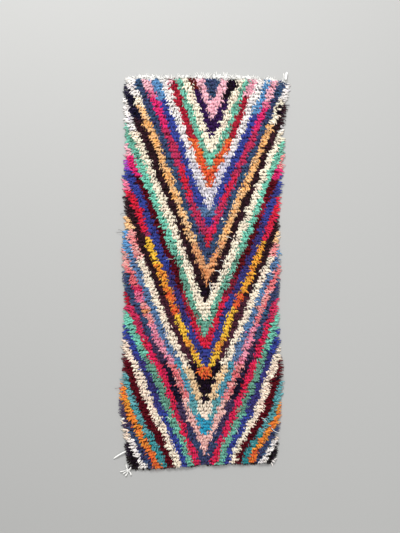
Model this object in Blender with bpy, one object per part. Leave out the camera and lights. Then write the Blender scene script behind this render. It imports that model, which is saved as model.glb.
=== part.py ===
"""Boucherouite rug: a flat runner of shaggy rag pile that lies on the floor.

Metres, +Z up. The rug's length runs along Y, its knotted pile faces up, and its underside is at Z = 0.
"""

import math

import bmesh
import bpy
from mathutils import Matrix, Vector, noise

# The pile's outline, measured from the middle of the rug. The sides wander as hand-woven selvedges do.
SIDE_STATIONS = (
    # up the rug, left side, right side
    (-1.190, -0.452, 0.440),
    (-1.090, -0.479, 0.450),
    (-0.935, -0.500, 0.462),
    (-0.785, -0.517, 0.478),
    (-0.615, -0.499, 0.480),
    (-0.420, -0.497, 0.463),
    (-0.175, -0.488, 0.456),
    (0.010, -0.494, 0.467),
    (0.160, -0.500, 0.461),
    (0.345, -0.486, 0.461),
    (0.560, -0.496, 0.474),
    (0.740, -0.485, 0.491),
    (0.955, -0.486, 0.492),
    (1.060, -0.492, 0.509),
    (1.170, -0.488, 0.519),
)
END_STATIONS = (
    # across the rug, bottom end, top end
    (-0.490, -1.190, 1.176),
    (-0.430, -1.208, 1.200),
    (-0.250, -1.204, 1.206),
    (0.000, -1.186, 1.207),
    (0.250, -1.178, 1.204),
    (0.430, -1.172, 1.192),
    (0.510, -1.160, 1.174),
)

# The pile field: the knotted ground with its shag, as one lumpy slab.
FIELD_CELLS_ACROSS = 32
FIELD_CELLS_ALONG = 72
FIELD_HEIGHT = 0.0225
FIELD_RIM_HEIGHT = 0.018
RIM_SLOPE = 0.060
LUMP_HEIGHT = 0.0130
LUMP_LENGTH = 0.047
SWELL_HEIGHT = 0.003
SWELL_LENGTH = 0.35

# The rim: four narrow backings parted from the field, each with the locks that lie on the floor beside it.
CUT = 0.0003
BACKING_WIDTH = 0.014
BACKING_INNER_HEIGHT = 0.017
BACKING_OUTER_HEIGHT = 0.010
BACKING_LUMP = 0.0016
SIDE_CELLS = 2 * FIELD_CELLS_ALONG
TOP_CELLS = 3 * FIELD_CELLS_ACROSS
BOTTOM_CELLS = 2 * FIELD_CELLS_ACROSS

# Locks: how far they reach past their backing on average, how much they differ, and their own shape.
SIDE_REACH = 0.025
TOP_REACH = 0.026
BOTTOM_REACH = 0.016
REACH_SPREAD = 0.90
LOCK_LEAN = 0.60
LOCK_SHAPE = (
    # share of the reach, share of the root's width, height
    (0.50, 0.86, 0.0085),
    (1.00, 0.34, 0.0040),
)

# Two long warp ends: one escapes near the foot of the left side, one stands out at the top right corner.
LOOSE_END_UP = -1.093
LOOSE_END_CLEAR = 0.036
LOOSE_END_STEPS = (
    # outward, along the side, width, height
    (0.006, -0.003, 0.0070, 0.0070),
    (0.045, -0.020, 0.0065, 0.0060),
    (0.097, -0.052, 0.0055, 0.0050),
)
CORNER_END_STEPS = (
    (0.006, 0.000, 0.0095, 0.0080),
    (0.030, 0.003, 0.0085, 0.0065),
    (0.052, 0.005, 0.0060, 0.0050),
)

# The tassel: warp ends knotted together beside the lower left corner, fanned out on the floor.
KNOT_SIDES = 12
KNOT_RADIUS = 0.011
KNOT_HEIGHT = 0.012
KNOT_FROM_CORNER = Vector((-0.034, -0.013))
NECK_WIDTH = 0.0050
STRAND_HEIGHT = 0.0065
STRAND_TIP_WIDTH = 0.0060
TASSEL_STRANDS = (
    # knot side, reach past the knot, sideways bend
    (4, 0.028, 0.003),
    (6, 0.043, 0.006),
    (7, 0.036, 0.002),
    (8, 0.038, -0.002),
    (10, 0.034, 0.003),
)

LEFT, RIGHT = Vector((-1, 0)), Vector((1, 0))
UP_RUG, DOWN_RUG = Vector((0, 1)), Vector((0, -1))

MATERIALS = {
    # name: colour, roughness
    "rag_pile": ((0.30, 0.13, 0.20, 1.0), 0.95),
    "edge_rag": ((0.11, 0.20, 0.40, 1.0), 0.95),
    "warp_cotton": ((0.83, 0.79, 0.71, 1.0), 0.90),
}


def clear_scene():
    for old in list(bpy.data.objects):
        bpy.data.objects.remove(old, do_unlink=True)


def through(stations, column, place):
    """Value of a column at a place, on one smooth curve through the stations."""
    places = [row[0] for row in stations]
    values = [row[column] for row in stations]
    last = len(places) - 1
    place = min(max(place, places[0]), places[last])
    k = max(i for i in range(last) if places[i] <= place)
    span = places[k + 1] - places[k]
    t = (place - places[k]) / span

    def slope(i):
        before, after = max(i - 1, 0), min(i + 1, last)
        return (values[after] - values[before]) / (places[after] - places[before])

    rise = t * t * (3 - 2 * t)
    straight = values[k] * (1 - rise) + values[k + 1] * rise
    return straight + span * (slope(k) * t * (1 - t) ** 2 - slope(k + 1) * t**2 * (1 - t))


def field_place(across, along):
    """Point of the field in plan, from its shares of the width and the length."""
    _, foot, head = END_STATIONS[len(END_STATIONS) // 2]
    up = foot + (head - foot) * along
    left = through(SIDE_STATIONS, 1, up) + SIDE_REACH + BACKING_WIDTH
    right = through(SIDE_STATIONS, 2, up) - SIDE_REACH - BACKING_WIDTH
    x = left + (right - left) * across
    bottom = through(END_STATIONS, 1, x) + BOTTOM_REACH + BACKING_WIDTH
    top = through(END_STATIONS, 2, x) - TOP_REACH - BACKING_WIDTH
    return Vector((x, bottom + (top - bottom) * along))


def field_height(across, along):
    """Height of the pile: lumps of knots on a long low swell, falling away to the rim."""
    place = field_place(across, along)
    short = noise.noise(Vector((place.x, place.y, 0)) / LUMP_LENGTH)
    long = noise.noise(Vector((place.x, place.y, 0)) / SWELL_LENGTH)
    full = FIELD_HEIGHT + LUMP_HEIGHT * short + SWELL_HEIGHT * long
    to_side = min(place.x - field_place(0, along).x, field_place(1, along).x - place.x)
    to_end = min(place.y - field_place(across, 0).y, field_place(across, 1).y - place.y)
    t = min(1.0, max(0.0, min(to_side, to_end)) / RIM_SLOPE)
    share = t * t * (3 - 2 * t)
    return FIELD_RIM_HEIGHT + (full - FIELD_RIM_HEIGHT) * share


def slab(cells_across, cells_along, place, height):
    """Closed slab: a grid laid out in plan and raised, its border carried down to the floor."""
    bm = bmesh.new()
    bmesh.ops.create_grid(bm, x_segments=cells_across, y_segments=cells_along, size=0.5)
    for vertex in bm.verts:
        across, along = vertex.co.x + 0.5, vertex.co.y + 0.5
        spot = place(across, along)
        vertex.co = (spot.x, spot.y, height(across, along))
    border = [edge for edge in bm.edges if edge.is_boundary]
    skirt = bmesh.ops.extrude_edge_only(bm, edges=border)["geom"]
    for vertex in (item for item in skirt if isinstance(item, bmesh.types.BMVert)):
        vertex.co.z = 0.0
    hem = [edge for edge in bm.edges if edge.is_boundary]
    bmesh.ops.contextual_create(bm, geom=hem)
    bmesh.ops.recalc_face_normals(bm, faces=bm.faces)
    return bm


def along_edge(outward):
    """The way along an edge, to the rug's +X or +Y."""
    return Vector((abs(outward.y), abs(outward.x)))


def border_point(side_of_field, cells, share):
    """Point on a border of the field, which runs straight between its grid corners."""
    step = share * cells
    corner = min(int(step + 1e-6), cells - 1)
    start, end = side_of_field(corner / cells), side_of_field((corner + 1) / cells)
    return start.lerp(end, step - corner)


def backing(side_of_field, field_cells, cells, outward, corner_run=0.0):
    """Narrow slab just outside one border of the field. A corner run carries it past both ends."""
    run = along_edge(outward)
    corners = 1 if corner_run else 0

    def place(across, along):
        step = round(along * (cells + 2 * corners)) - corners
        past = corner_run * (min(step, 0) + max(step - cells, 0))
        on_border = min(max(step, 0), cells) / cells
        inner = border_point(side_of_field, field_cells, on_border) + run * past
        return inner + outward * (CUT + BACKING_WIDTH * across)

    def height(across, along):
        spot = place(across, along)
        lump = BACKING_LUMP * noise.noise(Vector((spot.x, spot.y, 1)) / LUMP_LENGTH)
        slope = BACKING_OUTER_HEIGHT - BACKING_INNER_HEIGHT
        return BACKING_INNER_HEIGHT + slope * across + lump

    return slab(1, cells + 2 * corners, place, height)


def walls_facing(bm, outward):
    """The upright four-sided faces that look outward, in order along the rug's +X and +Y."""
    bm.normal_update()
    found = [face for face in bm.faces if face.normal.to_2d().dot(outward) > 0.8 and len(face.verts) == 4]
    return sorted(found, key=lambda face: sum(face.calc_center_median().to_2d()))


def grow(bm, face, steps):
    """Extrudes a lock or strand from a wall. Each step is its offset from the root, width and height."""
    low = [vertex.co.to_2d() for vertex in face.verts if vertex.co.z < CUT]
    run = (low[1] - low[0]).normalized()
    root = (low[0] + low[1]) / 2
    for offset, width, height in steps:
        face = bmesh.ops.extrude_discrete_faces(bm, faces=[face])["faces"][0]
        centre = face.calc_center_median()
        for vertex in face.verts:
            from_centre = vertex.co - centre
            side = math.copysign(width / 2, from_centre.to_2d().dot(run))
            top = height if from_centre.z > 0 else 0.0
            vertex.co = (root + offset + run * side).to_3d() + Vector((0, 0, top))


def grow_lock(bm, face, outward, reach):
    """One lock, its length and lean taken from smooth noise along the edge."""
    place = face.calc_center_median()
    width = max(edge.calc_length() for edge in face.edges)
    long = reach * (1 + REACH_SPREAD * noise.noise(Vector((place.x, place.y, 2)) * 61))
    lean = width * LOCK_LEAN * noise.noise(Vector((place.x, place.y, 4)) * 47)
    way = outward * long + along_edge(outward) * lean
    grow(bm, face, [(way * share, width * wide, high) for share, wide, high in LOCK_SHAPE])


def grow_locks(bm, outward, reach, bare=()):
    """Locks on every second wall face, except near the bare places along the edge."""
    for face in walls_facing(bm, outward)[1::2]:
        spot = face.calc_center_median().to_2d().dot(along_edge(outward))
        if not any(low < spot < high for low, high in bare):
            grow_lock(bm, face, outward, reach)


def grow_warp_end(bm, outward, up, steps):
    """One long warp end from the wall face nearest to a height up the rug."""
    run = along_edge(outward)
    face = min(walls_facing(bm, outward), key=lambda wall: abs(wall.calc_center_median().y - up))
    grow(bm, face, [(outward * out + run * aside, wide, high) for out, aside, wide, high in steps])


def material(name):
    colour, roughness = MATERIALS[name]
    made = bpy.data.materials.get(name) or bpy.data.materials.new(name)
    made.use_nodes = True
    shader = made.node_tree.nodes["Principled BSDF"]
    shader.inputs["Base Color"].default_value = colour
    shader.inputs["Roughness"].default_value = roughness
    return made


def add_piece(name, bm, material_name, collection, frame):
    mesh = bpy.data.meshes.new(name)
    bm.to_mesh(mesh)
    bm.free()
    mesh.shade_smooth()
    mesh.set_sharp_from_angle(angle=math.radians(50))
    mesh.materials.append(material(material_name))
    piece = bpy.data.objects.new(name, mesh)
    collection.objects.link(piece)
    piece.parent = frame
    return piece


def make_tassel():
    """Knot with its neck towards the rug and its strands fanned out, centred on the knot."""
    bm = bmesh.new()
    upright = Matrix.Translation((0, 0, KNOT_HEIGHT / 2)) @ Matrix.Rotation(math.pi / KNOT_SIDES, 4, "Z")
    bmesh.ops.create_cone(
        bm,
        cap_ends=True,
        segments=KNOT_SIDES,
        radius1=KNOT_RADIUS,
        radius2=0.8 * KNOT_RADIUS,
        depth=KNOT_HEIGHT,
        matrix=upright,
    )
    side_width = 2 * KNOT_RADIUS * math.sin(math.pi / KNOT_SIDES)

    def side(index):
        """A side of the knot: the way it faces, the way along it, and its face."""
        angle = 2 * math.pi * index / KNOT_SIDES
        way = Vector((math.cos(angle), math.sin(angle)))
        bm.normal_update()
        own = [f for f in bm.faces if len(f.verts) == 4 and f.calc_center_median().to_2d().length < KNOT_RADIUS]
        return way, Vector((-way.y, way.x)), max(own, key=lambda f: f.normal.to_2d().dot(way))

    way, aside, face = side(0)
    neck = -KNOT_FROM_CORNER.x - KNOT_RADIUS * math.cos(math.pi / KNOT_SIDES) - CUT
    rise = -KNOT_FROM_CORNER.y
    steps = [
        (way * neck * share + aside * rise * share, NECK_WIDTH, STRAND_HEIGHT)
        for share in (0.3, 1.0)
    ]
    grow(bm, face, steps)
    for index, reach, bend in TASSEL_STRANDS:
        way, aside, face = side(index)
        steps = [
            (way * 0.2 * reach, 0.85 * side_width, 1.2 * STRAND_HEIGHT),
            (way * 0.6 * reach + aside * 0.3 * bend, side_width, STRAND_HEIGHT),
            (way * reach + aside * bend, STRAND_TIP_WIDTH, 0.8 * STRAND_HEIGHT),
        ]
        grow(bm, face, steps)
    return bm


def main():
    clear_scene()
    collection = bpy.data.collections.new("boucherouite_rug")
    bpy.context.scene.collection.children.link(collection)
    frame = bpy.data.objects.new("rug_frame", None)
    collection.objects.link(frame)

    field = slab(FIELD_CELLS_ACROSS, FIELD_CELLS_ALONG, field_place, field_height)
    pieces = [add_piece("pile_field", field, "rag_pile", collection, frame)]

    corner_run = CUT + BACKING_WIDTH
    left = backing(lambda v: field_place(0, v), FIELD_CELLS_ALONG, SIDE_CELLS, LEFT, corner_run)
    below_loose_end = (LOOSE_END_UP - LOOSE_END_CLEAR, LOOSE_END_UP + LOOSE_END_CLEAR / 2)
    grow_locks(left, LEFT, SIDE_REACH, bare=[below_loose_end])
    grow_warp_end(left, LEFT, LOOSE_END_UP, LOOSE_END_STEPS)
    pieces.append(add_piece("left_edge_locks", left, "edge_rag", collection, frame))

    right = backing(lambda v: field_place(1, v), FIELD_CELLS_ALONG, SIDE_CELLS, RIGHT, corner_run)
    grow_locks(right, RIGHT, SIDE_REACH)
    grow_warp_end(right, UP_RUG, 0.0, CORNER_END_STEPS)
    pieces.append(add_piece("right_edge_locks", right, "edge_rag", collection, frame))

    top = backing(lambda u: field_place(u, 1), FIELD_CELLS_ACROSS, TOP_CELLS, UP_RUG)
    grow_locks(top, UP_RUG, TOP_REACH)
    pieces.append(add_piece("top_warp_fringe", top, "warp_cotton", collection, frame))

    bottom = backing(lambda u: field_place(u, 0), FIELD_CELLS_ACROSS, BOTTOM_CELLS, DOWN_RUG)
    grow_locks(bottom, DOWN_RUG, BOTTOM_REACH)
    pieces.append(add_piece("bottom_edge_locks", bottom, "edge_rag", collection, frame))

    tassel = add_piece("corner_tassel", make_tassel(), "warp_cotton", collection, frame)
    corner = field_place(0, 0) + LEFT * (CUT + BACKING_WIDTH) + DOWN_RUG * corner_run / 2
    tassel.location = (corner + KNOT_FROM_CORNER).to_3d()
    pieces.append(tassel)

    bpy.context.view_layer.update()
    corners = [piece.matrix_world @ Vector(spot) for piece in pieces for spot in piece.bound_box]
    middle_x = (min(c.x for c in corners) + max(c.x for c in corners)) / 2
    middle_y = (min(c.y for c in corners) + max(c.y for c in corners)) / 2
    frame.location = (-middle_x, -middle_y, 0.0)


main()
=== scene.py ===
# %% [markdown]
# # A boucherouite rug
# The real rug is a hand-knotted runner. Weavers cut rags and leftover wool into strips and tie them, row
# after row, into a plain cotton ground. The strips stand up as a shaggy pile in nested chevron stripes.
#
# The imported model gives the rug's size and place as plain solids. This lesson dresses them: a thin woven
# ground, 7,392 knots with four locks each, a frizzy fringe, and the loose ends.

import bpy
import numpy as np
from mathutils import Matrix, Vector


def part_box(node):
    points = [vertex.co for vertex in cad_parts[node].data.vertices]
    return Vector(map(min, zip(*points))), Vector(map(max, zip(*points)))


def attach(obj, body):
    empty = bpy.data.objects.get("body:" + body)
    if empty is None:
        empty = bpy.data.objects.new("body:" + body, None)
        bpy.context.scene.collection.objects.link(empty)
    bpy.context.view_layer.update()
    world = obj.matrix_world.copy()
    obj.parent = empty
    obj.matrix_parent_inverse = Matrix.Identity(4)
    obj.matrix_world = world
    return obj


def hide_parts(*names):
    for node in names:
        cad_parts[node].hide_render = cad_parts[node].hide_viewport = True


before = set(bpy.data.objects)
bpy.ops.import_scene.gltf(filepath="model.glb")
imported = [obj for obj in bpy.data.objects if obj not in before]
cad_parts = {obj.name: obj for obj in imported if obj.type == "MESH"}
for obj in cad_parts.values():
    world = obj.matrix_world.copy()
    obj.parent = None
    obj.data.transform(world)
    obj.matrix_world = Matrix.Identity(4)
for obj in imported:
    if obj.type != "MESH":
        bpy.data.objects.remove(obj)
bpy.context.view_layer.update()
print("CAD nodes:", sorted(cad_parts))

# %% [markdown]
# ## The outline of the weaving
# A loom-woven runner is never quite straight: its sides wander as the weft is beaten in. The outline is a
# short table of stations, and a smooth curve passes through them. The same table shapes the solids, so
# the ground cloth ends exactly where the solids' backing ends, and the locks reach past it.

# %% The outline's stations, in metres from the middle of the rug
SIDE_STATIONS = np.array([
    # up the rug, left side, right side
    (-1.190, -0.452, 0.440),
    (-1.090, -0.479, 0.450),
    (-0.935, -0.500, 0.462),
    (-0.785, -0.517, 0.478),
    (-0.615, -0.499, 0.480),
    (-0.420, -0.497, 0.463),
    (-0.175, -0.488, 0.456),
    (0.010, -0.494, 0.467),
    (0.160, -0.500, 0.461),
    (0.345, -0.486, 0.461),
    (0.560, -0.496, 0.474),
    (0.740, -0.485, 0.491),
    (0.955, -0.486, 0.492),
    (1.060, -0.492, 0.509),
    (1.170, -0.488, 0.519),
])
END_STATIONS = np.array([
    # across the rug, bottom end, top end
    (-0.490, -1.190, 1.176),
    (-0.430, -1.208, 1.200),
    (-0.250, -1.204, 1.206),
    (0.000, -1.186, 1.207),
    (0.250, -1.178, 1.204),
    (0.430, -1.172, 1.192),
    (0.510, -1.160, 1.174),
])
SIDE_REACH, TOP_REACH, BOTTOM_REACH = 0.025, 0.026, 0.016
BACKING_WIDTH = 0.014


def through(stations, column, place):
    """Smooth curve through a table: cubic Hermite pieces, each slope taken from the two neighbours."""
    at, values = stations[:, 0], stations[:, column]
    index = np.arange(len(at))
    before, after = np.maximum(index - 1, 0), np.minimum(index + 1, len(at) - 1)
    slope = (values[after] - values[before]) / (at[after] - at[before])
    place = np.clip(place, at[0], at[-1])
    k = np.clip(np.searchsorted(at, place, side="right") - 1, 0, len(at) - 2)
    span = at[k + 1] - at[k]
    t = (place - at[k]) / span
    rise = t * t * (3 - 2 * t)
    straight = values[k] * (1 - rise) + values[k + 1] * rise
    return straight + span * (slope[k] * t * (1 - t) ** 2 - slope[k + 1] * t**2 * (1 - t))


def weaving(across, along, inset=0.0):
    """Point of the ground cloth, from its shares of the width and length: a blend of the four sides."""
    foot, head = END_STATIONS[len(END_STATIONS) // 2, 1:]
    up = foot + (head - foot) * along
    left = through(SIDE_STATIONS, 1, up) + SIDE_REACH + inset
    right = through(SIDE_STATIONS, 2, up) - SIDE_REACH - inset
    x = left + (right - left) * across
    bottom = through(END_STATIONS, 1, x) + BOTTOM_REACH + inset
    top = through(END_STATIONS, 2, x) - TOP_REACH - inset
    return x, bottom + (top - bottom) * along


across_share, along_share = np.meshgrid(np.linspace(0, 1, 33), np.linspace(0, 1, 73))
field_x, field_y = weaving(across_share, along_share, BACKING_WIDTH)
field_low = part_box("pile_field")[0]
MIDDLE = np.array([field_low.x - field_x.min(), field_low.y - field_y.min(), 0.0])
print("the rug's middle lies at", MIDDLE.round(4))

# %% [markdown]
# ## Camera
# The photo looks straight down at the rug, with the rug's top end up. A long lens from high above gives
# the same flat view.

# %% The camera
CAMERA_HEIGHT = 5.0
VIEW_LENGTH = 3.25
VIEW_MIDDLE = np.array([-0.0244, 0.0305, CAMERA_HEIGHT])
SENSOR = 36.0


def add_object(name, data):
    """New object at the origin, linked to the scene."""
    thing = bpy.data.objects.new(name, data)
    bpy.context.scene.collection.objects.link(thing)
    return thing


camera_data = bpy.data.cameras.new("camera")
camera_data.sensor_width = SENSOR
camera_data.lens = SENSOR * CAMERA_HEIGHT / VIEW_LENGTH
camera = add_object("camera", camera_data)
camera.location = MIDDLE + VIEW_MIDDLE
bpy.context.scene.camera = camera
print("lens", round(camera_data.lens, 1), "mm")

# %% [markdown]
# ## Floor and light
# The floor is plain and pale. The light is soft and comes mostly from beyond the rug's top end, so each
# row of locks shades the one below it, and the bottom end drops a shadow on the floor.

# %% The floor and the lights
FLOOR_HALF, FLOOR_ROUGHNESS = 8.0, 0.8
FLOOR_COLOUR = (0.44, 0.44, 0.43, 1.0)
SKY_COLOUR, SKY_STRENGTH = (1.0, 1.0, 1.0, 1.0), 0.55
LAMPS = (
    # name, place, size, power
    ("key", (-1.2, 5.6, 5.0), 2.4, 560),
    ("fill", (2.5, -2.0, 4.0), 3.0, 45),
)


def start_material(name, roughness):
    """New node material and its Principled shader, with the roughness set."""
    material = bpy.data.materials.new(name)
    material.use_nodes = True
    shader = material.node_tree.nodes["Principled BSDF"]
    shader.inputs["Roughness"].default_value = roughness
    return material, shader


floor_mesh = bpy.data.meshes.new("floor")
floor_corners = [(x * FLOOR_HALF, y * FLOOR_HALF, 0) for x, y in ((-1, -1), (1, -1), (1, 1), (-1, 1))]
floor_mesh.from_pydata(floor_corners, [], [(0, 1, 2, 3)])
floor_material, floor_shader = start_material("floor", FLOOR_ROUGHNESS)
floor_shader.inputs["Base Color"].default_value = FLOOR_COLOUR
floor_mesh.materials.append(floor_material)
floor = add_object("floor", floor_mesh)

world = bpy.data.worlds.new("studio")
world.use_nodes = True
world.node_tree.nodes["Background"].inputs["Color"].default_value = SKY_COLOUR
world.node_tree.nodes["Background"].inputs["Strength"].default_value = SKY_STRENGTH
bpy.context.scene.world = world
bpy.context.scene.view_settings.view_transform = "Standard"


def soft_light(name, place, size, power):
    """Square lamp that faces the middle of the rug."""
    data = bpy.data.lights.new(name, "AREA")
    data.shape = "SQUARE"
    data.size = size
    data.energy = power
    lamp = add_object(name, data)
    lamp.location = place
    lamp.rotation_euler = (-lamp.location).to_track_quat("-Z", "Y").to_euler()


for lamp_line in LAMPS:
    soft_light(*lamp_line)
print(len(LAMPS), "soft lamps")

# %% [markdown]
# ## Smooth noise
# Hand work varies slowly along a row and from row to row. One small helper gives such variation: random
# values on the corners of a grid of squares, blended smoothly in between. It takes whole arrays at once.

# %% A smooth noise on arrays
NOISE_TABLE = 64


def soft_noise(x, y, size, seed):
    """From -1 to 1: random corner values, blended across each square by t * t * (3 - 2 * t)."""
    table = np.random.default_rng(seed).uniform(-1, 1, (NOISE_TABLE, NOISE_TABLE))
    i, j = np.floor(x / size).astype(int), np.floor(y / size).astype(int)
    s, t = x / size - i, y / size - j
    s, t = s * s * (3 - 2 * s), t * t * (3 - 2 * t)

    def corner(a, b):
        return table[(i + a) % NOISE_TABLE, (j + b) % NOISE_TABLE]

    low = corner(0, 0) * (1 - s) + corner(1, 0) * s
    high = corner(0, 1) * (1 - s) + corner(1, 1) * s
    return low * (1 - t) + high * t


print("noise sample", soft_noise(np.array([0.1]), np.array([0.2]), 0.05, 1).round(3))

# %% [markdown]
# ## Creases of the cloth
# The rug was folded across its width before it was laid out, and four faint fold lines are left. Each is
# a soft ridge, a few millimetres high, where the cloth doesn't quite lie down again. The cloth and every
# knot on it ask the same function for their height.

# %% The height of the cloth above the floor
CREASES = (
    # place up the rug, tilt, half width, height
    (0.695, 0.010, 0.020, 0.0050),
    (0.076, -0.012, 0.022, 0.0055),
    (-0.217, 0.008, 0.018, 0.0040),
    (-0.656, -0.010, 0.020, 0.0050),
)
CLOTH_THICKNESS = 0.0030
CREASE_WANDER, WANDER_SIZE, WANDER_SEED = 0.007, 0.11, 5
CREASE_FADE, FADE_SIZE, FADE_SEED = 0.25, 0.16, 3
ROWS_APART = 0.002
# The band just above a crease: its middle is this far up, and its half width is the same.
ABOVE_CREASE = 0.011


def bell(distance, half_width):
    """Bell curve: exp(-(distance / half width) ** 2)."""
    return np.exp(-((distance / half_width) ** 2))


def from_crease(x, y, place, tilt):
    """Distance up from a crease that wanders a little, and how sharp it is there, from 0.5 to 1."""
    along_crease = y * 0 + place
    wander = CREASE_WANDER * soft_noise(x, along_crease, WANDER_SIZE, WANDER_SEED)
    sharp = 1 - CREASE_FADE + CREASE_FADE * soft_noise(x, along_crease, FADE_SIZE, FADE_SEED)
    return y - place - tilt * x - wander, sharp


def cloth_lift(x, y):
    """Sum of the creases: height * sharpness * bell curve of the distance."""
    lift = np.zeros_like(x)
    for place, tilt, half_width, height in CREASES:
        distance, sharp = from_crease(x, y, place, tilt)
        lift += height * sharp * bell(distance, half_width)
    return lift


def part_rows(x, y):
    """The rows stand apart at a crease: each moves away from it by 2 mm, less the farther off it is.

    The second value is up to 1 for a knot just above a crease, whose locks are cut short, and 0 elsewhere.
    """
    move, just_above = np.zeros_like(x), np.zeros_like(x)
    for place, tilt, half_width, _ in CREASES:
        distance, sharp = from_crease(x, y, place, tilt)
        move += ROWS_APART * sharp * np.sign(distance) * bell(distance, half_width)
        just_above += sharp * bell(distance - ABOVE_CREASE, ABOVE_CREASE)
    return move, just_above


print(len(CREASES), "creases")

# %% [markdown]
# ## The chart of the chevrons
# A knotter follows a chart: which dye comes next, and how wide its stripe is. Nested chevrons need only
# one number per knot, the drop: how far the knot lies below the top end, plus a fixed slope times its
# distance from the centre line. Equal drop makes a V. The stripes are widths of that drop, counted down
# the centre line, and each stripe lists the yarn lots that the weaver used on the way to its point.

# %% The yarn lots: two dyes each, because a lot is never dyed evenly
LOTS = {
    # lot: first dye, second dye (display values of red, green and blue), how much the knots differ
    "navy": ((64, 56, 104), (60, 102, 136), 0.35),
    "midnight": ((18, 16, 42), (80, 64, 100), 0.35),
    "royal": ((52, 72, 166), (58, 42, 112), 0.25),
    "sky": ((100, 164, 216), (94, 120, 162), 0.25),
    "turquoise": ((6, 166, 204), (120, 162, 170), 0.30),
    "teal": ((16, 144, 150), (110, 178, 184), 0.35),
    "mint": ((128, 220, 194), (108, 160, 138), 0.30),
    "cream": ((255, 246, 222), (255, 226, 208), 0.30),
    "white": ((255, 248, 242), (208, 202, 218), 0.30),
    "black": ((20, 8, 11), (60, 28, 88), 0.08),
    "plum": ((92, 44, 62), (42, 19, 26), 0.30),
    "maroon": ((94, 2, 24), (112, 34, 28), 0.20),
    "ruby": ((190, 8, 46), (132, 6, 46), 0.25),
    "raspberry": ((218, 44, 94), (164, 42, 92), 0.25),
    "crimson": ((224, 22, 48), (238, 38, 124), 0.12),
    "violet": ((184, 66, 200), (100, 60, 160), 0.35),
    "pink": ((255, 202, 212), (240, 110, 152), 0.15),
    "salmon": ((255, 208, 198), (238, 106, 116), 0.25),
    "peach": ((255, 184, 102), (250, 220, 178), 0.30),
    "tan": ((232, 150, 88), (240, 196, 150), 0.30),
    "orange": ((236, 78, 44), (255, 208, 64), 0.12),
}
LOT_NAMES = list(LOTS)


def linear(display):
    """Display values from 0 to 255 as the linear values that a shader takes."""
    value = np.asarray(display, float) / 255
    return np.where(value <= 0.04045, value / 12.92, ((value + 0.055) / 1.055) ** 2.4)


def dye_of(lot, share):
    """Linear colour of each knot or lock: its lot's first dye * (1 - share) + second dye * share."""
    first, second = (linear([LOTS[name][k] for name in LOT_NAMES])[lot] for k in (0, 1))
    return first * (1 - share[:, None]) + second * share[:, None]


print(len(LOTS), "lots")

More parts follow.
